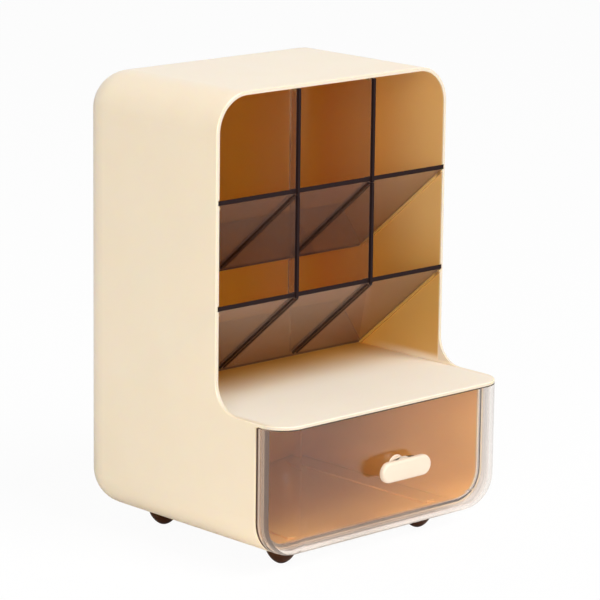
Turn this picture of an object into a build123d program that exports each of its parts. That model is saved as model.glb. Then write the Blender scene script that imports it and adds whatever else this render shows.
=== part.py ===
from build123d import *
import math
import os

os.makedirs("parts", exist_ok=True)

# A desktop organizer for craft supplies. The cream housing is a tube with a rounded rectangular
# front section and a closed, rounded back. Its upper bay is set back and holds two slanted floors
# with upright dividers. Its base stands forward as a shelf over a clear drawer.
# X is the width, Y runs from the front to the back, Z is up. Z = 0 is the table. The origin lies in
# the middle of the footprint, knob included. All sizes are in millimetres.

# Housing
housing_width = 150.0
housing_height = 215.0        # without the feet
body_depth = 145.4            # from the drawer's front face to the housing's back
wall = 1.8
corner_radius = 18.5          # of the tube and its back
bay_setback = 44.8            # the upper bay's rim, behind the drawer's front face
bay_fillet = 14.0             # between the upper bay's rim and the top of the base
rim_edge = 0.4                # chamfer along every rim

# Shelf over the drawer
shelf_height = 65.7           # top of the shelf above the housing's underside
shelf_thickness = 1.5
nose_radius = 13.7            # front corners of the shelf, and round the drawer's front
nose_straight = 3.5           # from the rims of the base's side walls to where the nose turns

# Slanted floors
floor_angle = 40.0            # fall towards the back, in degrees
floor_thickness = 1.8
lower_floor_rise = 50.0       # front edge of the lower floor above the shelf
tier_spacing = 50.0           # from the lower floor's front edge to the upper one's
stop_height = 24.0            # upstand behind each floor, which stops what is laid on it
groove_depth = 0.7            # in the side walls, for the floors' side edges
fit_clearance = 0.15          # between a floor or a divider and what holds it
rail_width = 1.2              # ribs on the side walls that carry the floors
rail_thickness = 1.4

# Dividers
divider_thickness = 1.5
divider_columns = 3
channel_rib_width = 0.8       # two ribs hold each edge of a divider
channel_rib_height = 1.2
hook_thickness = 1.2          # the divider's front bar, in front of the floor's edge
hook_overlap = 0.8            # how far the bar reaches below the floor's front edge

# Drawer
drawer_wall = 2.0
drawer_side_gap = 0.5
drawer_top_gap = 0.6
drawer_rim_gap = 1.0          # between the drawer's front and the rims of the base
runner_height = 0.8           # two ribs in the base that the drawer slides on
runner_width = 5.0
runner_inset = 27.0           # from the base's inner side walls
running_gap = 0.1

# Knob and its screw
knob_height = 35.4            # centre of the knob above the housing's underside
knob_width = 32.0
knob_thickness = 3.2
knob_face_height = 10.0
knob_edge = 1.0               # chamfer round the pill's face
neck_diameter = 10.0
neck_length = 5.0
screw_diameter = 3.5
screw_length = 7.0            # under the head
screw_head_diameter = 7.0
screw_head_height = 2.2
screw_head_edge = 0.9
screw_clearance = 0.2         # on the diameter

# Feet
foot_height = 10.5            # below the housing
foot_diameter = 14.0
foot_edge = 2.0               # chamfer round the foot's lower end
foot_inset_x = 29.5           # from the housing's sides
foot_inset_y = 30.2           # from the drawer's front face and the housing's back

# Planes and heights that several pieces share
nose_depth = nose_radius + nose_straight
knob_reach = neck_length + knob_thickness
back_y = (body_depth + knob_reach) / 2
front_y = back_y - body_depth
rim_y = front_y + nose_depth
bay_y = front_y + bay_setback
bottom_z = foot_height
top_z = bottom_z + housing_height
mid_z = (bottom_z + top_z) / 2
shelf_z = bottom_z + shelf_height
shelf_under_z = shelf_z - shelf_thickness
ceiling_z = top_z - wall
inner_width = housing_width - 2 * wall
lower_floor_z = shelf_z + lower_floor_rise
upper_floor_z = lower_floor_z + tier_spacing

# The floors: the fall per millimetre of depth, and the depth at which the lower one meets the shelf
fall = math.tan(math.radians(floor_angle))
slope_cos = math.cos(math.radians(floor_angle))
slope_sin = math.sin(math.radians(floor_angle))
floor_edge_height = floor_thickness / slope_cos
floor_depth = (lower_floor_rise - floor_thickness * (slope_cos + slope_sin)) / fall
floor_width = inner_width + 2 * (groove_depth - fit_clearance)
column_pitch = inner_width / divider_columns
divider_places = [(i - divider_columns / 2) * column_pitch for i in range(1, divider_columns)]
channel_width = divider_thickness + 2 * fit_clearance

foot_x = housing_width / 2 - foot_inset_x
foot_places = {
    "front_left_foot": (-foot_x, front_y + foot_inset_y),
    "front_right_foot": (foot_x, front_y + foot_inset_y),
    "rear_left_foot": (-foot_x, back_y - foot_inset_y),
    "rear_right_foot": (foot_x, back_y - foot_inset_y),
}


def slope_point(floor_z, along, above):
    """A point of the YZ plane, measured along a floor's top face and square to it."""
    y = bay_y + along * slope_cos + above * slope_sin
    z = floor_z - along * slope_sin + above * slope_cos
    return (y, z)


def channel_ribs(centre):
    """The two places in X of the ribs that hold one edge of a divider."""
    offset = (channel_width + channel_rib_width) / 2
    return [centre - offset, centre + offset]


# Space inside the housing: the tube's inner form, less the shelf between its two bays
with BuildPart() as cavity:
    with BuildSketch(Plane.XZ.offset(-(back_y - wall))):
        with Locations((0, mid_z)):
            RectangleRounded(inner_width, housing_height - 2 * wall, corner_radius - wall)
    extrude(amount=body_depth)
    fillet(cavity.faces().sort_by(Axis.Y)[-1].edges(), radius=corner_radius - wall)
    with BuildSketch(Plane.XY.offset(shelf_under_z)):
        Rectangle(2 * housing_width, 4 * body_depth)
    extrude(amount=shelf_thickness, mode=Mode.SUBTRACT)

with BuildPart() as housing:
    # The tube with its rounded back, as deep as the base's side walls
    with BuildSketch(Plane.XZ.offset(-back_y)):
        with Locations((0, mid_z)):
            RectangleRounded(housing_width, housing_height, corner_radius)
    extrude(amount=back_y - rim_y)
    fillet(housing.faces().sort_by(Axis.Y)[-1].edges(), radius=corner_radius)

    # The upper bay's rim is set back, with a fillet down to the base
    with BuildSketch(Plane.YZ) as setback:
        with BuildLine():
            Polyline(
                (front_y, shelf_z),
                (bay_y, shelf_z),
                (bay_y, top_z + wall),
                (front_y, top_z + wall),
                close=True,
            )
        make_face()
        fillet(setback.vertices().sort_by_distance((bay_y, shelf_z))[0], radius=bay_fillet)
    extrude(amount=housing_width, both=True, mode=Mode.SUBTRACT)

    # Hollow, with the shelf left standing
    add(cavity.part, mode=Mode.SUBTRACT)

    # The shelf reaches forward to the drawer's front, with round corners
    with BuildSketch(Plane.XY.offset(shelf_under_z)) as nose:
        with Locations((0, (front_y + rim_y) / 2)):
            Rectangle(housing_width, nose_depth)
        fillet(nose.vertices().group_by(Axis.Y)[0], radius=nose_radius)
    extrude(amount=shelf_thickness)

    # One soft edge runs along the bay's outer rim, the base and the shelf's front
    rim_edges = housing.edges().filter_by_position(Axis.Y, bay_y - 0.01, bay_y + 0.01)
    chamfer(rim_edges.sort_by(Axis.Z)[-1], length=rim_edge)

    # Rails on the side walls under each floor
    for floor_z in (lower_floor_z, upper_floor_z):
        with BuildSketch(Plane.YZ.offset(-inner_width / 2)) as rail:
            with BuildLine():
                Polyline(
                    slope_point(floor_z, 2 * rail_thickness, -floor_thickness - fit_clearance),
                    slope_point(floor_z, floor_depth / slope_cos, -floor_thickness - fit_clearance),
                    slope_point(floor_z, floor_depth / slope_cos, -floor_thickness - rail_thickness),
                    slope_point(floor_z, 2 * rail_thickness, -floor_thickness - rail_thickness),
                    close=True,
                )
            make_face()
        rails = extrude(amount=rail_width)
        mirror(rails, about=Plane.YZ)

    # Grooves in the side walls, open to the front, for the floors' side edges
    for floor_z in (lower_floor_z, upper_floor_z):
        with BuildSketch(Plane.YZ) as groove:
            with BuildLine():
                Polyline(
                    slope_point(floor_z, -wall, fit_clearance),
                    slope_point(floor_z, floor_depth / slope_cos + wall, fit_clearance),
                    slope_point(floor_z, floor_depth / slope_cos + wall, -floor_thickness - fit_clearance),
                    slope_point(floor_z, -wall, -floor_thickness - fit_clearance),
                    close=True,
                )
            make_face()
        extrude(amount=inner_width / 2 + groove_depth, both=True, mode=Mode.SUBTRACT)

    # Pairs of ribs under the ceiling for the upper dividers' top edges
    with BuildSketch(Plane.XY.offset(ceiling_z)):
        for place in divider_places:
            for x in channel_ribs(place):
                with Locations((x, bay_y + rim_edge + floor_depth / 2)):
                    Rectangle(channel_rib_width, floor_depth - 2 * rim_edge)
    extrude(amount=-channel_rib_height)

    # Runners for the drawer
    with BuildSketch(Plane.XY.offset(bottom_z + wall)):
        with Locations((0, (rim_y + back_y - corner_radius) / 2)):
            with GridLocations(inner_width - 2 * runner_inset, 1, 2, 1):
                Rectangle(runner_width, back_y - corner_radius - rim_y - 2 * runner_width)
    extrude(amount=runner_height)

housing.part.label = "housing"
export_step(housing.part, "parts/housing.step")


def slanted_floor(floor_z):
    """A floor with its rear stop, and channels for dividers on both faces."""
    run = floor_depth / slope_cos
    with BuildPart() as tray:
        # The slab, whose side edges sit in the grooves of the side walls
        with BuildSketch(Plane.YZ):
            with BuildLine():
                Polyline(
                    (bay_y, floor_z),
                    slope_point(floor_z, run, 0),
                    slope_point(floor_z, run, -floor_thickness),
                    (bay_y, floor_z - floor_edge_height),
                    close=True,
                )
            make_face()
        extrude(amount=floor_width / 2, both=True)
        fillet(tray.edges().filter_by(Axis.X).group_by(Axis.Y)[0], radius=floor_thickness / 6)

        # The stop, which stands between the side walls
        with BuildSketch(Plane.YZ):
            with BuildLine():
                Polyline(
                    slope_point(floor_z, run, -floor_thickness),
                    slope_point(floor_z, run, stop_height),
                    slope_point(floor_z, run + floor_thickness, stop_height),
                    slope_point(floor_z, run + floor_thickness, -floor_thickness),
                    close=True,
                )
            make_face()
        extrude(amount=inner_width / 2 - fit_clearance, both=True)

        slope = Plane(origin=(0, bay_y, floor_z), x_dir=(1, 0, 0), z_dir=(0, slope_sin, slope_cos))
        rib_start = 2 * channel_rib_height
        rib_end = run - 3 * channel_rib_height
        ribs = [x for place in divider_places for x in channel_ribs(place)]
        for face, height in ((0, channel_rib_height), (-floor_thickness, -channel_rib_height)):
            with BuildSketch(slope.offset(face)):
                with Locations([(x, (rib_start + rib_end) / 2) for x in ribs]):
                    Rectangle(channel_rib_width, rib_end - rib_start)
            extrude(amount=height)
    return tray.part


def divider(x, floor_z, top_line):
    """An upright panel on a floor. top_line gives its front and rear top corners."""
    rear = floor_depth - 2 * fit_clearance
    hook_y = bay_y - fit_clearance
    with BuildPart() as panel:
        with BuildSketch(Plane.YZ.offset(x - divider_thickness / 2)) as outline:
            with BuildLine():
                Polyline(
                    (hook_y - hook_thickness, floor_z - floor_edge_height - hook_overlap),
                    (hook_y, floor_z - floor_edge_height - hook_overlap),
                    (hook_y, floor_z + fit_clearance * (1 + fall)),
                    (bay_y + rear, floor_z + fit_clearance - rear * fall),
                    (bay_y + rear, top_line[1]),
                    (bay_y, top_line[0]),
                    (hook_y - hook_thickness, top_line[0]),
                    close=True,
                )
            make_face()
            fillet(outline.vertices().group_by(Axis.X)[0], radius=hook_thickness / 2)
        extrude(amount=divider_thickness)
    return panel.part


upper_floor = slanted_floor(upper_floor_z)
upper_floor.label = "upper_floor"
export_step(upper_floor, "parts/upper_floor.step")

lower_floor = slanted_floor(lower_floor_z)
lower_floor.label = "lower_floor"
export_step(lower_floor, "parts/lower_floor.step")

# The lower dividers reach up to the upper floor, the upper dividers to the ceiling
panel_rear = floor_depth - 2 * fit_clearance
under_upper_floor = upper_floor_z - floor_edge_height - hook_overlap - fit_clearance
lower_top = (under_upper_floor, under_upper_floor - panel_rear * fall)
upper_top = (ceiling_z - fit_clearance, ceiling_z - fit_clearance)
for side, place in zip(("left", "right"), divider_places):
    lower_divider = divider(place, lower_floor_z, lower_top)
    lower_divider.label = f"lower_divider_{side}"
    export_step(lower_divider, f"parts/lower_divider_{side}.step")
    upper_divider = divider(place, upper_floor_z, upper_top)
    upper_divider.label = f"upper_divider_{side}"
    export_step(upper_divider, f"parts/upper_divider_{side}.step")

# Drawer: a round-cornered front as wide as the housing, and a narrower tub behind it
front_back_y = rim_y - drawer_rim_gap
tub_width = inner_width - 2 * drawer_side_gap
tub_bottom_z = bottom_z + wall + runner_height + running_gap
tub_back_y = back_y - wall - drawer_side_gap
tub_radius = corner_radius - wall - drawer_side_gap
drawer_top_z = shelf_under_z - drawer_top_gap
knob_z = bottom_z + knob_height


def drawer_form(inset):
    """The drawer's form without its open top, drawn in by inset on every side."""
    with BuildPart() as front:
        with BuildSketch(Plane.XZ.offset(-back_y)):
            with Locations((0, mid_z)):
                RectangleRounded(
                    housing_width - 2 * inset, housing_height - 2 * inset, corner_radius - inset
                )
        extrude(amount=back_y - front_y - inset)
        fillet(front.faces().sort_by(Axis.Y)[0].edges(), radius=nose_radius - inset)
        split(bisect_by=Plane.XZ.offset(-(front_back_y - inset)), keep=Keep.TOP)
    with BuildPart() as tub:
        with BuildSketch(Plane.XZ.offset(-(tub_back_y - inset))):
            with Locations((0, tub_bottom_z + housing_height / 2)):
                RectangleRounded(
                    tub_width - 2 * inset, housing_height - 2 * inset, tub_radius - inset
                )
        extrude(amount=tub_back_y - front_back_y)
        fillet(tub.faces().sort_by(Axis.Y)[-1].edges(), radius=tub_radius - inset)
    return front.part + tub.part


drawer_outside = drawer_form(0)
drawer_inside = drawer_form(drawer_wall)

with BuildPart() as drawer:
    add(drawer_outside)
    add(drawer_inside, mode=Mode.SUBTRACT)
    split(bisect_by=Plane.XY.offset(drawer_top_z), keep=Keep.BOTTOM)
    with BuildSketch(Plane.XZ.offset(-front_y)):
        with Locations((0, knob_z)):
            Circle((screw_diameter + screw_clearance) / 2)
    extrude(amount=-2 * drawer_wall, mode=Mode.SUBTRACT)

drawer.part.label = "drawer"
export_step(drawer.part, "parts/drawer.step")

# Knob: a pill on a round neck, drilled from behind for its screw
with BuildPart() as drawer_knob:
    with BuildSketch(Plane.XZ.offset(-front_y)):
        with Locations((0, knob_z)):
            Circle(neck_diameter / 2)
    extrude(amount=neck_length)
    with BuildSketch(Plane.XZ.offset(-front_y + neck_length)):
        with Locations((0, knob_z)):
            SlotOverall(knob_width, knob_face_height)
    extrude(amount=knob_thickness)
    chamfer(drawer_knob.faces().sort_by(Axis.Y)[0].edges(), length=knob_edge)
    with BuildSketch(Plane.XZ.offset(-front_y)):
        with Locations((0, knob_z)):
            Circle((screw_diameter + screw_clearance) / 2)
    extrude(amount=screw_length - drawer_wall, mode=Mode.SUBTRACT)

drawer_knob.part.label = "drawer_knob"
export_step(drawer_knob.part, "parts/drawer_knob.step")

# Screw: its head bears on the inside of the drawer's front
with BuildPart() as knob_screw:
    with BuildSketch(Plane.XZ.offset(-(front_y + drawer_wall))):
        with Locations((0, knob_z)):
            Circle(screw_diameter / 2)
    extrude(amount=screw_length - screw_clearance)
    with BuildSketch(Plane.XZ.offset(-(front_y + drawer_wall))):
        with Locations((0, knob_z)):
            Circle(screw_head_diameter / 2)
    extrude(amount=-screw_head_height)
    chamfer(knob_screw.faces().sort_by(Axis.Y)[-1].edges(), length=screw_head_edge)

knob_screw.part.label = "knob_screw"
export_step(knob_screw.part, "parts/knob_screw.step")

# Feet: rubber bumpers stuck to the housing's underside
for name, place in foot_places.items():
    with BuildPart() as foot:
        with BuildSketch(Plane.XY):
            with Locations(place):
                Circle(foot_diameter / 2)
        extrude(amount=foot_height)
        chamfer(foot.faces().sort_by(Axis.Z)[0].edges(), length=foot_edge)
    foot.part.label = name
    export_step(foot.part, f"parts/{name}.step")
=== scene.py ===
# %% [markdown]
# # A desktop organizer for craft supplies
# The real object is a cream moulded shell with two slanted smoke-coloured floors, four dividers,
# a clear drawer with a cream knob, and four rubber feet. The CAD model fixes every size and place.
# This lesson adds the camera, the light and the finishes, and the shapes that a CAD model keeps
# plain: the soft-edged knob, the screw and the rubber feet.

# %% Load the frame
import math

import bmesh
import bpy
import numpy as np
from mathutils import Matrix, Vector


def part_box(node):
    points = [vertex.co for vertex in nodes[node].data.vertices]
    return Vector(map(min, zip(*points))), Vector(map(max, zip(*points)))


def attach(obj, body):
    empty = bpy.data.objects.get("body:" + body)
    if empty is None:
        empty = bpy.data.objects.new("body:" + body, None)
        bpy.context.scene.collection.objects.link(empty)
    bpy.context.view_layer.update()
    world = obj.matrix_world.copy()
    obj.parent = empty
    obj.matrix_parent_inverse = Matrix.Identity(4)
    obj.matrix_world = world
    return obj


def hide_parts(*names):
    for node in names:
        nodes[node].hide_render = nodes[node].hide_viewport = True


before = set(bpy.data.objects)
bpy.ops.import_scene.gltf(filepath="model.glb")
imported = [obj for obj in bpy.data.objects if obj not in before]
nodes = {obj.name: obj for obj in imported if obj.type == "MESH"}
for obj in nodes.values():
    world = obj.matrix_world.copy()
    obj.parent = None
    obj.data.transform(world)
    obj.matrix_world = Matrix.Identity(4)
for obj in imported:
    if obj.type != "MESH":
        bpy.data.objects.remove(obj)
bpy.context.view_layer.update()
mm = 0.001
print("CAD nodes:", ", ".join(sorted(nodes)))

# %% [markdown]
# ## Camera
# A long lens far away keeps the housing's edges almost parallel, as on a product photograph.
# The camera could be placed by eye, but its angles here were fitted to the corners, rims and feet
# that the photograph shows, so that the model's outline lands on the photographed one.

# %% Camera
image_width = 600
focal_pixels = 3308
sensor_width = 36.0
yaw = math.radians(43.23)
pitch = math.radians(12.82)
roll = math.radians(0.72)
look_at = Vector((0.0, -13.4, 125.5)) * mm
distance = 1589.25 * mm
slide_right = -8.70 * mm
slide_up = -8.46 * mm

forward = Vector((math.sin(yaw) * math.cos(pitch), math.cos(yaw) * math.cos(pitch), -math.sin(pitch)))
level_right = Vector((math.cos(yaw), -math.sin(yaw), 0))
level_up = level_right.cross(forward)
right = math.cos(roll) * level_right + math.sin(roll) * level_up
up = math.cos(roll) * level_up - math.sin(roll) * level_right

camera = bpy.data.objects.new("camera", bpy.data.cameras.new("camera"))
camera.data.sensor_width = sensor_width
camera.data.lens = focal_pixels / image_width * sensor_width
axes = Matrix((right, up, -forward)).transposed()
camera.matrix_world = axes.to_4x4()
camera.location = look_at - distance * forward + slide_right * right + slide_up * up
bpy.context.scene.collection.objects.link(camera)
bpy.context.scene.camera = camera
bpy.context.scene.view_settings.view_transform = "Standard"
print("lens", round(camera.data.lens, 1), "mm, camera at", [round(c, 3) for c in camera.location])

# %% [markdown]
# ## Sums in a shader
# A finish is a tree of shader nodes. Wiring them one by one hides the idea behind the wires, so
# one small class wraps a socket and lets plain sums such as 1 - mask add their Math nodes.


# %% Sums in a shader
class Value:
    """A node's output that takes part in sums, each of which adds a Math node."""

    def __init__(self, finish, socket):
        self.finish = finish
        self.socket = socket

    def math(self, operation, *others):
        return self.finish.node("ShaderNodeMath", {"operation": operation}, [self, *others])

    def out(self, name):
        return Value(self.finish, self.socket.node.outputs[name])

    def __add__(self, other):
        return self.math("ADD", other)

    def __sub__(self, other):
        return self.math("SUBTRACT", other)

    def __rsub__(self, other):
        return self.finish.node("ShaderNodeMath", {"operation": "SUBTRACT"}, [other, self])

    def __mul__(self, other):
        return self.math("MULTIPLY", other)

    def __pow__(self, other):
        return self.math("POWER", other)

    def __abs__(self):
        return self.math("ABSOLUTE")

    __radd__ = __add__
    __rmul__ = __mul__

    def most(self, other):
        return self.math("MAXIMUM", other)

    def least(self, other):
        return self.math("MINIMUM", other)

    def step(self, low, high):
        """0 below low, 1 above high, and a smooth slope between them."""
        settings = {"interpolation_type": "SMOOTHSTEP"}
        return self.finish.node(
            "ShaderNodeMapRange", settings, {"Value": self, "From Min": low, "From Max": high}
        )

    def drop(self, low, high):
        """1 below low, 0 above high, and a smooth slope between them."""
        return 1 - self.step(low, high)


# %% [markdown]
# ## Finishes
# Every other node comes from one method, which takes its type, its settings and what goes into
# it. The other methods are short names for nodes that several finishes share. All patterns read
# the object's own coordinates, so they stay in place from every side and when the drawer moves.


# %% Finishes
class Finish:
    """The shader nodes of a material or of the world, and the one way to add more."""

    def __init__(self, owner):
        owner.use_nodes = True
        self.material = owner
        self.tree = owner.node_tree
        self.tree.nodes.clear()

    def node(self, kind, settings=None, inputs=()):
        """Adds a node: first its settings, then the values or links of its sockets."""
        made = self.tree.nodes.new(kind)
        for key, value in (settings or {}).items():
            setattr(made, key, value)
        pairs = inputs.items() if isinstance(inputs, dict) else enumerate(inputs)
        for key, value in pairs:
            if isinstance(value, Value):
                self.tree.links.new(value.socket, made.inputs[key])
            else:
                made.inputs[key].default_value = value
        return Value(self, made.outputs[0]) if made.outputs else made

    def place(self):
        return self.node("ShaderNodeTexCoord").out("Object")

    def axes(self):
        parts = self.node("ShaderNodeSeparateXYZ", None, [self.place()])
        return parts.out("X"), parts.out("Y"), parts.out("Z")

    def noise(self, scale, detail=2.0):
        """A cloudy pattern round 0.5. scale is in waves per metre."""
        inputs = {"Vector": self.place(), "Scale": scale, "Detail": detail}
        return self.node("ShaderNodeTexNoise", None, inputs).out("Fac")

    def blend(self, mask, first, second):
        """A colour that goes from first to second as mask goes from 0 to 1."""
        inputs = {0: mask, 6: first, 7: second}
        return self.node("ShaderNodeMix", {"data_type": "RGBA"}, inputs).out(2)

    def bump(self, height, depth):
        """A normal from a height pattern of 0 to 1, depth metres deep."""
        return self.node("ShaderNodeBump", None, {"Height": height, "Distance": depth, "Strength": 1.0})

    def surface(self, shader, volume=None):
        inputs = {"Surface": shader}
        if volume is not None:
            inputs["Volume"] = volume
        self.node("ShaderNodeOutputMaterial", None, inputs)
        return self.material


# %% [markdown]
# ## Colours
# A colour is easiest to write as a screen shows it, from 0 to 255. Shaders count light instead,
# so each number is turned into its share of light once, here.


# %% Colours
def new_finish(name):
    return Finish(bpy.data.materials.new(name))


def colour(red, green, blue):
    """A colour as the screen shows it, from 0 to 255, in the linear values that shaders use."""
    shares = [c / 255 for c in (red, green, blue)]
    linear = [s / 12.92 if s < 0.04045 else ((s + 0.055) / 1.055) ** 2.4 for s in shares]
    return (*linear, 1.0)


def paint(piece, material):
    """Gives a piece or CAD node one material on all of its faces."""
    if not piece.material_slots:
        piece.data.materials.append(material)
    for slot in piece.material_slots:
        slot.material = material


print("middle grey is", round(colour(128, 128, 128)[0], 3), "of the light that white is")

# %% [markdown]
# ## Floor
# The photograph has a pure white background. A studio gets it from a lit paper backdrop. Here a
# wide pale floor is enough: to the camera its material shows mostly a plain white, so that the
# horizon fades and only a faint shadow of the object is left.

# %% Floor
floor_half = 6.0
floor_colour = colour(250, 250, 250)
white_share = 0.95
floor_mesh = bpy.data.meshes.new("floor")
corners = np.array([(-1, -1, 0), (1, -1, 0), (1, 1, 0), (-1, 1, 0)]) * floor_half
floor_mesh.from_pydata(corners.tolist(), [], [(0, 1, 2, 3)])
floor = bpy.data.objects.new("floor", floor_mesh)
bpy.context.scene.collection.objects.link(floor)

pale = new_finish("pale_floor")
seen = pale.node("ShaderNodeLightPath").out("Is Camera Ray")
matt = pale.node("ShaderNodeBsdfDiffuse", None, {"Color": floor_colour})
white = pale.node("ShaderNodeEmission", None, {"Color": (1, 1, 1, 1), "Strength": 1.0})
paint(floor, pale.surface(pale.node("ShaderNodeMixShader", None, [seen * white_share, matt, white])))
print("floor", 2 * floor_half, "m wide")

# %% [markdown]
# ## Surroundings
# The world lights the object from all sides at a plain level, at which a colour renders about as
# it is written. It looks white only where it is seen or mirrored, because a world that lit the
# object as brightly as that would bleach the cream plastic.

# %% Surroundings
ambient = 0.32
world = bpy.data.worlds.new("studio")
bpy.context.scene.world = world
sky = Finish(world)
ray = sky.node("ShaderNodeLightPath")
shown = ray.out("Is Camera Ray").most(ray.out("Is Glossy Ray")).most(ray.out("Is Transmission Ray"))
light = sky.node("ShaderNodeBackground", None, {"Color": (1, 1, 1, 1), "Strength": ambient})
white = sky.node("ShaderNodeBackground", None, {"Color": (1, 1, 1, 1), "Strength": 1.0})
both = sky.node("ShaderNodeMixShader", None, [shown, light, white])
sky.node("ShaderNodeOutputWorld", None, {"Surface": both})
print("ambient light", ambient)

# %% [markdown]
# ## Lamps
# Even light alone would make all faces alike. Three large lamps, above, at the left and in front,
# give the faces the small differences in tone that the photograph shows. They could be small and
# far away, but a large lamp keeps the shadows soft.


# %% Lamps
def softbox(name, place, aim, width, power):
    """A square area lamp at place, turned towards aim."""
    lamp = bpy.data.objects.new(name, bpy.data.lights.new(name, "AREA"))
    lamp.data.size = width
    lamp.data.energy = power
    lamp.location = place
    lamp.rotation_euler = (Vector(aim) - Vector(place)).to_track_quat("-Z", "Y").to_euler()
    bpy.context.scene.collection.objects.link(lamp)
    return lamp


lamp_aim = (0, 0, 0.1)
lamps = [
    softbox("key_lamp", (0.2, -1.2, 1.9), lamp_aim, 1.2, 33.0),
    softbox("side_lamp", (-1.8, -1.0, 0.5), lamp_aim, 0.8, 18.0),
    softbox("front_lamp", (0.3, -2.0, 1.0), lamp_aim, 1.0, 4.5),
]
print("lamps:", ", ".join(f"{lamp.name} {lamp.data.energy} W" for lamp in lamps))

# %% [markdown]
# ## Cream plastic
# The shell and the knob are injection moulded in a cream plastic with a soft satin skin. One
# material covers the whole shell, inside and outside, so a mask has to tell its places apart.
# The most useful one is the depth below the outer skin. It is worked out as a formula instead of
# painted, so it follows the rounded corners exactly.

# %% Places on the shell
housing_low, housing_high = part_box("housing")
shelf_top = housing_low.z + 65.7 * mm
shelf_under = shelf_top - 1.5 * mm
bay_front = housing_low.y + 44.8 * mm
base_rim = housing_low.y + 17.2 * mm
wall = 1.8 * mm
corner_radius = 18.5 * mm


def shell_depth(x, y, z):
    """How deep a point lies below the shell's outer skin: the distance to a box whose edges are
    rounded by corner_radius, closed at the back and endless towards the front."""
    middle = (housing_low.z + housing_high.z) / 2
    across = abs(x) - (housing_high.x - corner_radius)
    along = y - (housing_high.y - corner_radius)
    upward = abs(z - middle) - ((housing_high.z - housing_low.z) / 2 - corner_radius)
    squares = [side.most(0.0) ** 2.0 for side in (across, along, upward)]
    rounded = (squares[0] + squares[1] + squares[2]) ** 0.5
    flat = across.most(along).most(upward).least(0.0)
    return corner_radius - rounded - flat


print("housing from", [round(c, 4) for c in housing_low], "to", [round(c, 4) for c in housing_high])

# %% [markdown]
# ## Tones inside the shell
# Light bounces from wall to wall inside, so the cream turns to a warm tan there, and far back,
# where it bounces most, to amber. The lamps alone give only a part of this, and the masks paint
# the rest into the colour as painted bounce light and shade. Low in the bay the tan is painted
# deeper, as painted shade, because the pale shelf would bleach it there. The rails' front ends
# are painted a darker tan, as painted shade under the floors' edges.

# %% Tones inside the shell
# painted bounce light and shade: the tans and the amber inside the shell
amber_bounce_shade = colour(254, 184, 52)
tan_bounce_light = colour(226, 180, 112)
shaded_low_tan = colour(203, 157, 83)
base_bounce_light = colour(251, 192, 114)
shaded_tan = colour(150, 112, 66)
rim_blur = 1.2 * mm
shelf_fade_length = 55 * mm
amber_start = 20 * mm
low_tan_start = 40 * mm
low_tan_end = 80 * mm

shell = new_finish("housing_plastic")
x, y, z = shell.axes()
depth = shell_depth(x, y, z)
inside = depth.step(wall - 0.15 * mm, wall - 0.02 * mm)
on_rails = depth.step(wall + 0.1 * mm, wall + 0.3 * mm)
over_shelf = z.step(shelf_top + 0.5 * mm, shelf_top + 5 * mm)
shelf_fade = (1 - over_shelf) * y.drop(bay_front, bay_front + shelf_fade_length)
in_bay = y.step(bay_front, bay_front + rim_blur).most(on_rails) * (1 - shelf_fade)
in_base = y.step(base_rim, base_rim + rim_blur) * z.drop(shelf_under, shelf_under + 0.4 * mm)
far_back = y.step(bay_front + amber_start, housing_high.y - 5 * mm)
# painted shade on the rails' front ends, under the floors' edges
shaded_rail_ends = on_rails * y.drop(bay_front + 2 * mm, bay_front + 4 * mm)
# painted shade: a deeper tan low in the bay
near_shelf = z.drop(shelf_top + low_tan_start, shelf_top + low_tan_end)
bay_bounce_tone = shell.blend(far_back, shell.blend(near_shelf, tan_bounce_light, shaded_low_tan), amber_bounce_shade)
bay_bounce_tone = shell.blend(shaded_rail_ends, bay_bounce_tone, shaded_tan)
painted_inner_tone = shell.blend(in_base, bay_bounce_tone, base_bounce_light)
# where the painted bounce light and shade replace the cream
inner = inside * in_bay.most(in_base)
print("tan inside from", round(bay_front, 4), "in the bay and", round(base_rim, 4), "in the base")

# %% [markdown]
# ## Tones of the outer skin
# Outside the cream is nearly even, with broad faint clouds as in any moulded plastic. The shelf is
# painted a little paler than the sides, as painted light, because light falls on it from
# everywhere. The narrow rims are painted darker, as painted shade, because the three lamps meet
# on them and would bleach them.

# %% Tones of the outer skin
# painted shade: the darker tone of the narrow rims
shaded_rim_tone = colour(226, 210, 188)
clouds = shell.noise(35.0, 3.0)
side_tone = shell.blend(clouds, colour(245, 223, 193), colour(248, 228, 201))
# painted light: the shelf's paler copy of the cream
lit_shelf_tone = shell.blend(clouds, colour(249, 234, 214), colour(252, 239, 221))
shelf_face = z.step(shelf_top - 0.6 * mm, shelf_top - 0.1 * mm) * (1 - over_shelf)
shelf_face = shelf_face * depth.step(0.5 * mm, 4 * mm)
bay_rim = z.step(shelf_top + 0.5 * mm, shelf_top + 2 * mm)
bay_rim = bay_rim * y.drop(bay_front + 0.1 * mm, bay_front + 0.45 * mm)
shelf_edge = z.step(shelf_under - 0.1 * mm, shelf_under) * y.drop(base_rim - 1 * mm, base_rim)
shelf_edge = shelf_edge * z.drop(shelf_top - 0.4 * mm, shelf_top - 0.2 * mm)
# where the painted rim shade goes
rims = bay_rim.most(shelf_edge) * depth.step(0.05 * mm, 0.3 * mm)
skin_tone = shell.blend(rims, shell.blend(shelf_face, side_tone, lit_shelf_tone), shaded_rim_tone)
print("paler shelf at", round(shelf_top, 4), "and toned rims round the bay and the shelf")

# %% [markdown]
# ## The shell's shader
# A plain colour would look like paper. The real skin has a very fine grain from the mould and a
# slightly uneven gloss, so a fine noise feeds the bump and a broad one feeds the roughness. The
# shelf is more matt than the rest: in the photograph it hardly mirrors the dark bay. A thin coat
# makes the top mirror more than the base. The thin walls let a little red light through, which
# subsurface scattering gives.

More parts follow.
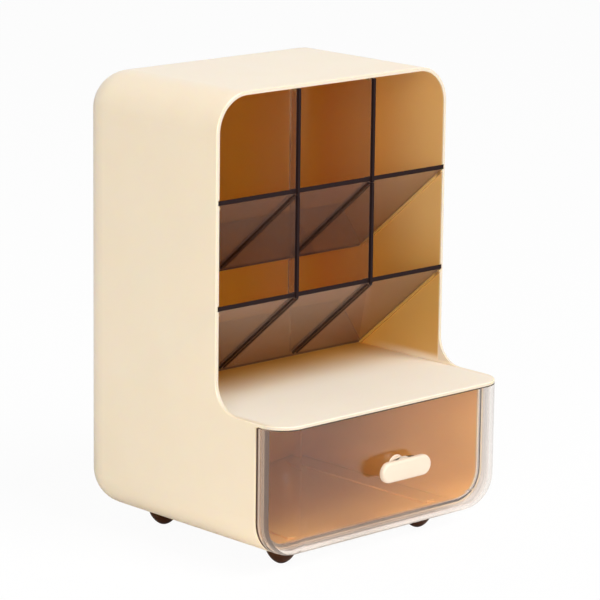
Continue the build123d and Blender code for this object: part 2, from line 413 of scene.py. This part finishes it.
# %% The shell's shader
satin = 0.26
matt_shelf = 0.5
coat = z.step(shelf_top + 1 * mm, shelf_top + 6 * mm) * 0.35 + 0.02
grain_depth = 0.012 * mm
shell_shader = shell.node("ShaderNodeBsdfPrincipled", None, {
    "Base Color": shell.blend(inner, skin_tone, painted_inner_tone),
    "Roughness": shell.noise(60.0) * 0.1 + satin + shelf_face * matt_shelf,
    "IOR": 1.5,
    "Coat Weight": coat,
    "Coat Roughness": 0.3,
    "Subsurface Weight": 0.2,
    "Subsurface Radius": (1.0, 0.5, 0.12),
    "Subsurface Scale": 7 * mm,
    "Normal": shell.bump(shell.noise(2600.0), grain_depth),
})
paint(nodes["housing"], shell.surface(shell_shader))
print("the shell's material has", len(shell.tree.nodes), "nodes")

# %% [markdown]
# ## See-through plastic
# The floors and dividers are sheets of tinted clear plastic. Across its thickness a sheet looks
# light brown, and along it, at every edge and rib, nearly black. An absorbing volume inside the
# glass does this by itself at each thickness. A mask paints the last of it as painted shade, an
# opaque dark colour where the real plastic mirrors the dark inside of its own sheet. Rays that
# only carry shade pass a plain transparent shader, so the lamps reach what stands behind.


# %% See-through plastic
def see_through(name, tint, absorbed, rough, solid_parts):
    """Clear plastic that takes absorbed (red, green, blue) of the light per metre. What
    solid_parts(finish) gives is a pattern, 1 where the plastic looks solid, and the colour there."""
    finish = new_finish(name)
    scuffs = finish.noise(420.0, 6.0).step(0.52, 0.78)
    body = finish.node("ShaderNodeBsdfPrincipled", None, {
        "Base Color": tint,
        "Roughness": scuffs * 0.015 + rough,
        "IOR": 1.49,
        "Transmission Weight": 1.0,
    })
    pattern, solid_colour = solid_parts(finish)
    solid = finish.node("ShaderNodeBsdfPrincipled", None, {
        "Base Color": solid_colour,
        "Roughness": finish.noise(900.0) * 0.1 + 0.25,
        "Specular IOR Level": 0.05,
    })
    body = finish.node("ShaderNodeMixShader", None, [pattern, body, solid])
    clear = finish.node("ShaderNodeBsdfTransparent", None, {"Color": (1, 1, 1, 1)})
    ray = finish.node("ShaderNodeLightPath")
    passing = ray.out("Is Shadow Ray").most(ray.out("Is Diffuse Ray"))
    most = max(absorbed)
    inside = finish.node("ShaderNodeVolumeAbsorption", None, {
        "Color": (*[1 - a / most for a in absorbed], 1),
        "Density": most,
    })
    print(name, "lets", round(math.exp(-absorbed[1] * 2 * mm), 2), "of green through 2 mm")
    return finish.surface(finish.node("ShaderNodeMixShader", None, [passing, body, clear]), inside)


# %% [markdown]
# ## Smoke floors and dividers
# Each floor has a thick front edge and ribs below, and each divider a bar along its front, and
# these look dark, so they are painted dark as painted shade. Where a divider's top edge stands
# between the ribs of the floor above, a thin paler line is painted as painted light. The floors
# slant, so the ribs are found by the height above the slanted face.
# The smoke tint also scatters a little light, which lies over the faces as a faint grey haze. It
# shows most on the floors, whose undersides face the viewer.

# %% Smoke floors and dividers
floor_angle = math.radians(40)
floor_thickness = 1.8 * mm
floor_tops = {"upper": shelf_top + 100 * mm, "lower": shelf_top + 50 * mm}
smoke_tint = (1, 0.97, 0.95, 1)
smoke_absorbed = (190, 235, 260)
smoke_rough = 0.03
# painted shade: the opaque dark of front edges, bars and ribs
painted_smoke_shade = colour(38, 26, 26)
# painted light: the paler line along the lower dividers' top edges
painted_smoke_light = colour(150, 118, 92)
haze_tone = colour(196, 182, 172)
floor_haze = 0.12
divider_haze = 0.04
rib_share = 0.5
top_edge_share = 0.5


def above_floor(y, z, floor_top):
    """The height above a floor's slanted face, measured square to it."""
    return (y - bay_front) * math.sin(floor_angle) + (z - floor_top) * math.cos(floor_angle)


def front_edge(y):
    """1 on what lies at or before the bay's rim: a sheet's front edge, a divider's front bar."""
    return y.drop(bay_front + 0.1 * mm, bay_front + 0.4 * mm)


def floor_parts(tier):
    """The parts of a floor painted dark as painted shade: its front edge, and in part the ribs below
    it.
    """
    def parts(finish):
        x, y, z = finish.axes()
        below = above_floor(y, z, floor_tops[tier]) + floor_thickness
        # painted shade on the front edge, and in part on the ribs
        dark = front_edge(y).most(below.drop(-0.1 * mm, -0.05 * mm) * rib_share)
        return dark.most(floor_haze), finish.blend(dark.step(0.0, 0.4), haze_tone, painted_smoke_shade)
    return parts


def divider_parts(tier):
    """The bar along a divider's front, painted dark as painted shade, and in the lower tier the top
    edge, painted paler as painted light.
    """
    def parts(finish):
        x, y, z = finish.axes()
        bar = front_edge(y)
        if tier == "upper":
            return bar.most(divider_haze), finish.blend(bar, haze_tone, painted_smoke_shade)
        below = above_floor(y, z, floor_tops["upper"]) + floor_thickness
        # painted light along the top edge, between the ribs of the floor above
        top_edge = below.step(-1.4 * mm, -1.0 * mm)
        face_tone = finish.blend(top_edge, haze_tone, painted_smoke_light)
        shown = bar.most(top_edge * top_edge_share).most(divider_haze)
        return shown, finish.blend(bar, face_tone, painted_smoke_shade)
    return parts


for tier in floor_tops:
    for kind, parts in (("floor", floor_parts(tier)), ("divider", divider_parts(tier))):
        smoke = see_through(f"smoke_{tier}_{kind}", smoke_tint, smoke_absorbed, smoke_rough, parts)
        for name in [name for name in nodes if name.startswith(f"{tier}_{kind}")]:
            paint(nodes[name], smoke)

# %% [markdown]
# ## Clear drawer
# The drawer is almost colourless, so its edges are what the eye sees. Where the wide front meets
# the narrower tub stands a thick shoulder, and its lines are painted: a painted dark shadow in the
# gap before the housing's rim, a painted highlight beside it, and a milky and a grey band of
# painted shade on the inner side.

# %% Clear drawer
clear_tint = (1, 0.965, 0.94, 1)
clear_absorbed = (5, 8, 11)
clear_rough = 0.01
drawer_back = base_rim - 1.0 * mm
edge_line, edge_share = 1.6 * mm, 0.85
pale_line, pale_share = 2.9 * mm, 0.5
milky_band, milky_share = 4.2 * mm, 0.45
grey_band, grey_share = 6.6 * mm, 0.85
fade_start, fade_end, fade_share = 20 * mm, 60 * mm, 0.75
# painted shadow in the gap before the housing's rim
gap_shade = colour(80, 56, 42)
# painted highlight beside the gap
painted_highlight = colour(236, 222, 206)
# painted shade: the milky and the grey band on the inner side
milky_shade = colour(186, 156, 132)
grey_shade = colour(112, 98, 90)


def shoulder(finish):
    """The painted lines of the shoulder, a shadow, a highlight and two bands of shade, each of which
    ends at its own distance before the back edge. All of them are painted weaker at the right,
    which is lit more brightly and shows the white behind it."""
    x, y, z = finish.axes()
    forward = drawer_back - y
    before_tub = forward.step(-0.2 * mm, -0.1 * mm)
    inner_side = shell_depth(x, y, z).step(1.6 * mm, 2.2 * mm)
    edge_end = forward.step(0.8 * edge_line, edge_line)
    pale_end = forward.step(0.9 * pale_line, pale_line)
    milky_end = forward.step(0.9 * milky_band, milky_band)
    grey_end = forward.step(0.95 * grey_band, grey_band)
    outer_share = (1 - edge_end) * edge_share + (edge_end - pale_end) * pale_share
    inner_share = (1 - milky_end) * milky_share + (milky_end - grey_end) * grey_share
    outer_tone = finish.blend(edge_end, gap_shade, painted_highlight)
    painted_inner_tone = finish.blend(milky_end, milky_shade, grey_shade)
    # the painted lines are weaker at the right, which is lit more brightly
    fading = 1 - x.step(fade_start, fade_end) * fade_share
    share = (outer_share * (1 - inner_side) + inner_share * inner_side) * before_tub * fading
    return share, finish.blend(inner_side, outer_tone, painted_inner_tone)


paint(nodes["drawer"], see_through("clear_plastic", clear_tint, clear_absorbed, clear_rough, shoulder))

# %% [markdown]
# ## Shapes from profiles
# The knob, the screw and the feet are turned or moulded shapes: a profile carried round a centre
# line. Blender's primitives would leave sharp rims, so each one is a grid of points worked out
# with numpy, with one row for each point of the profile and one column for each angle.

# %% Surfaces on a grid
def closed_surface(name, grid):
    """A smooth mesh from a grid of points (rows, columns, 3) whose columns close into rings.
    Rows that shrink to a point or a line are merged, so the surface has no hole."""
    rows, columns = grid.shape[:2]
    row, column = np.meshgrid(np.arange(rows - 1), np.arange(columns), indexing="ij")
    after = (column + 1) % columns
    faces = np.stack([
        row * columns + column,
        row * columns + after,
        (row + 1) * columns + after,
        (row + 1) * columns + column,
    ], axis=-1).reshape(-1, 4)
    mesh = bpy.data.meshes.new(name)
    mesh.from_pydata(grid.reshape(-1, 3).tolist(), [], faces.tolist())
    work = bmesh.new()
    work.from_mesh(mesh)
    bmesh.ops.remove_doubles(work, verts=work.verts, dist=0.001 * mm)
    bmesh.ops.recalc_face_normals(work, faces=work.faces)
    work.to_mesh(mesh)
    work.free()
    mesh.polygons.foreach_set("use_smooth", np.ones(len(mesh.polygons), bool))
    piece = bpy.data.objects.new(name, mesh)
    bpy.context.scene.collection.objects.link(piece)
    print(name, len(mesh.vertices), "points,", len(mesh.polygons), "faces")
    return piece


def arc(centre, radius, start, end, count=7):
    """Points centre + radius (cos a, sin a) in a profile's plane, a from start to end degrees."""
    turn = np.radians(np.linspace(start, end, count))
    return np.stack([centre[0] + radius * np.cos(turn), centre[1] + radius * np.sin(turn)], axis=1)


# %% [markdown]
# ## Rubber feet
# Each foot is a stick-on rubber bumper, dark brown and glossy, with a domed end. Its profile is
# a curve from the tip on the table to the full width, then straight up to the housing. In the
# CAD model it is a cylinder with a chamfer, which these domes replace.

# %% Shape of a foot
foot_dome_height = 5.9 * mm
foot_dome_power = 1.15
foot_rim_round = 0.4 * mm
foot_names = [name for name in sorted(nodes) if name.endswith("_foot")]


def foot_surface(low, high, columns=48, rows=20):
    """Radius R sqrt(1 - (1 - t) ** p) at the share t of the dome's height, then a wall up to a
    small rounding at the housing. p is foot_dome_power; 2 would give an ellipse."""
    radius = (high.x - low.x) / 2
    share = np.linspace(0, 1, rows) ** 2
    width = radius * np.sqrt(1 - (1 - share) ** foot_dome_power)
    dome = np.stack([width, share * foot_dome_height], axis=1)
    height = high.z - low.z
    rim = arc((radius - foot_rim_round, height - foot_rim_round), foot_rim_round, 0, 90)
    profile = np.vstack([dome, rim, [[0.0, height]]])
    turn = np.linspace(0, 2 * math.pi, columns, endpoint=False)
    x = (low.x + high.x) / 2 + profile[:, :1] * np.cos(turn)
    y = (low.y + high.y) / 2 + profile[:, :1] * np.sin(turn)
    z = low.z + profile[:, 1:] + 0 * turn
    return np.stack([x, y, z], axis=-1)


# %% [markdown]
# ## Foot rubber
# The rubber is a very dark brown with a dull shine. A fine grain in the bump breaks up the lines
# of light on it, and a low specular level keeps the pale floor from greying it.

# %% Foot rubber
rubber = new_finish("foot_rubber")
rubber_shader = rubber.node("ShaderNodeBsdfPrincipled", None, {
    "Base Color": rubber.blend(rubber.noise(300.0), colour(56, 28, 11), colour(69, 37, 16)),
    "Roughness": rubber.noise(700.0, 4.0) * 0.16 + 0.26,
    "Specular IOR Level": 0.14,
    "Normal": rubber.bump(rubber.noise(1500.0), 0.01 * mm),
})
rubber_material = rubber.surface(rubber_shader)
for name in foot_names:
    foot = closed_surface(name + "_rubber", foot_surface(*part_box(name)))
    paint(foot, rubber_material)
    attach(foot, "housing")
    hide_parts(name)

# %% [markdown]
# ## Knob
# The knob is a cream pill on a round neck, moulded in one piece. Its rims are soft enough to
# catch a line of light. The outline is a stadium: two half circles, moved apart by a straight
# part that shrinks to nothing at the neck, so that one grid covers plate and neck.

# %% Shape of the knob
knob_low, knob_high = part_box("drawer_knob")
knob_front = knob_low.y
drawer_front = knob_high.y
plate_thickness = 3.2 * mm
plate_radius = (knob_high.z - knob_low.z) / 2
plate_straight = (knob_high.x - knob_low.x) / 2 - plate_radius
neck_radius = 5.0 * mm
hole_radius = 1.85 * mm
hole_depth = 5.0 * mm
front_round = 1.3 * mm
back_round = 0.7 * mm
neck_fillet = 0.9 * mm
root_fillet = 0.5 * mm
face_crown = 0.15 * mm


def knob_surface(columns=25):
    """Each profile point is (distance from the centre line, y, share of the straight part).
    A grid point is the centre line's end plus that distance at the ring's angle."""
    plate_back = knob_front + plate_thickness
    rim = plate_radius
    face = np.stack([np.linspace(0, rim - front_round, 6), np.full(6, knob_front)], axis=1)
    face[:, 1] += face_crown * (face[:, 0] / rim) ** 2
    front_edge = arc((rim - front_round, face[-1, 1] + front_round), front_round, -90, 0, 9)
    back_edge = arc((rim - back_round, plate_back - back_round), back_round, 0, 90)
    bend = arc((neck_radius + neck_fillet, plate_back + neck_fillet), neck_fillet, -90, -180)
    root = arc((neck_radius + root_fillet, drawer_front - root_fillet), root_fillet, 180, 90, 5)
    hole = np.array([
        (hole_radius, drawer_front),
        (hole_radius, drawer_front - hole_depth),
        (0.0, drawer_front - hole_depth),
    ])
    profile = np.vstack([face[1:], front_edge[1:], back_edge, bend, root, hole])
    profile = np.vstack([[[0.0, knob_front]], profile])
    on_plate = len(face) + len(front_edge) - 1 + len(back_edge)
    straight = np.where(np.arange(len(profile)) < on_plate, plate_straight, 0.0)[:, None]
    half = np.linspace(-math.pi / 2, math.pi / 2, columns)
    turn = np.concatenate([half, half + math.pi])
    side = np.repeat([1.0, -1.0], columns)
    middle = (knob_low + knob_high) / 2
    x = middle.x + straight * side + profile[:, :1] * np.cos(turn)
    z = middle.z + profile[:, :1] * np.sin(turn)
    y = profile[:, 1:] + 0 * turn
    return np.stack([x, y, z], axis=-1)


# %% [markdown]
# ## Knob plastic
# The knob is moulded in the shell's cream. Its colour is painted a little darker, as painted shade,
# because it faces the lamps, and being thick it needs no light that passes through.

# %% Knob plastic
knob_finish = new_finish("knob_plastic")
clouds = knob_finish.noise(80.0)
knob_shader = knob_finish.node("ShaderNodeBsdfPrincipled", None, {
    # painted shade: the cream a little darker, because the knob faces the lamps
    "Base Color": knob_finish.blend(clouds, colour(234, 214, 190), colour(240, 221, 199)),
    "Roughness": knob_finish.noise(150.0) * 0.12 + 0.28,
    "IOR": 1.5,
    "Normal": knob_finish.bump(knob_finish.noise(2600.0), 0.008 * mm),
})
knob = closed_surface("knob_pill", knob_surface())
paint(knob, knob_finish.surface(knob_shader))
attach(knob, "drawer")
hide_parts("drawer_knob")

# %% [markdown]
# ## Screw
# One steel screw holds the knob from inside the drawer. It shows through the clear front and
# from above, so it gets a domed head with a cross recess and a thread. Both come from one rule:
# the recess lowers the dome near two crossed lines, and the thread is a ridge whose height
# depends on the angle and on the distance along the screw together.

# %% Shape of the screw
screw_low, screw_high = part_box("knob_screw")
head_height = 2.2 * mm
head_radius = (screw_high.x - screw_low.x) / 2
shank_radius = 1.75 * mm
thread_pitch = 1.25 * mm
thread_depth = 0.35 * mm
recess_depth = 1.3 * mm
dome_share = 0.75
tip_length = 1.2 * mm


def fade(value, low, high):
    """0 below low, 1 above high, and smooth between them."""
    share = np.clip((value - low) / (high - low), 0, 1)
    return share * share * (3 - 2 * share)


def screw_surface(columns=72):
    """Head: y falls as H (r / R) ** 3 from the top, less the recess, which is deepest where one
    of the two cross distances is small and the other one short. Shank: the radius dips by the
    thread's depth with the distance from its ridge line, a helix."""
    turn = np.linspace(0, 2 * math.pi, columns, endpoint=False)
    middle = (screw_low + screw_high) / 2
    bearing = screw_high.y - head_height
    radius = np.linspace(0, 1, 34)[:, None] * head_radius + 0 * turn
    top = screw_high.y - dome_share * head_height * (radius / head_radius) ** 3
    a = np.abs(radius * np.cos(turn))
    b = np.abs(radius * np.sin(turn))
    arm = 1 - fade(np.minimum(a, b), 0.3 * mm, 0.6 * mm)
    reach = 1 - fade(np.maximum(a, b), 1.3 * mm, 2.1 * mm)
    top = top - recess_depth * arm * reach
    under = np.array([[head_radius, bearing], [shank_radius, bearing]])[:, :, None] + 0 * turn
    along = np.linspace(bearing - 0.2 * mm, screw_low.y + tip_length, 70)[:, None] + 0 * turn
    phase = (along / thread_pitch + turn / (2 * math.pi)) % 1.0
    shank = shank_radius - thread_depth * np.minimum(1, 2.2 * np.abs(phase - 0.5))
    tip = np.linspace(1, 0, 6)[1:, None] + 0 * turn
    radii = np.vstack([radius, under[:, 0], shank, shank[-1] * tip])
    depths = np.vstack([top, under[:, 1], along, along[-1] - tip_length * (1 - tip)])
    x = middle.x + radii * np.cos(turn)
    z = middle.z + radii * np.sin(turn)
    return np.stack([x, depths, z], axis=-1)


# %% [markdown]
# ## Plating and lacquer
# The steel is plated and bright, with a fine unevenness. Only cream shows through the front in
# the photograph, so the head is lacquered in the knob's colour. One mask parts the two: it sets
# the colour, and it takes the metal away under the lacquer.

# %% Plating and lacquer
steel = new_finish("screw_steel")
x, y, z = steel.axes()
bearing = screw_high.y - head_height
head = y.step(bearing - 0.1 * mm, bearing + 0.1 * mm)
plated = steel.blend(steel.noise(900.0, 4.0), colour(192, 187, 180), colour(216, 210, 201))
lacquered = steel.blend(steel.noise(400.0), colour(232, 214, 190), colour(240, 222, 200))
steel_shader = steel.node("ShaderNodeBsdfPrincipled", None, {
    "Base Color": steel.blend(head, plated, lacquered),
    "Metallic": 1 - head,
    "Roughness": steel.noise(1200.0, 3.0) * 0.2 + 0.28,
    "Normal": steel.bump(steel.noise(3000.0), 0.006 * mm),
})
screw = closed_surface("knob_screw_threaded", screw_surface())
paint(screw, steel.surface(steel_shader))
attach(screw, "drawer")
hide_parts("knob_screw")
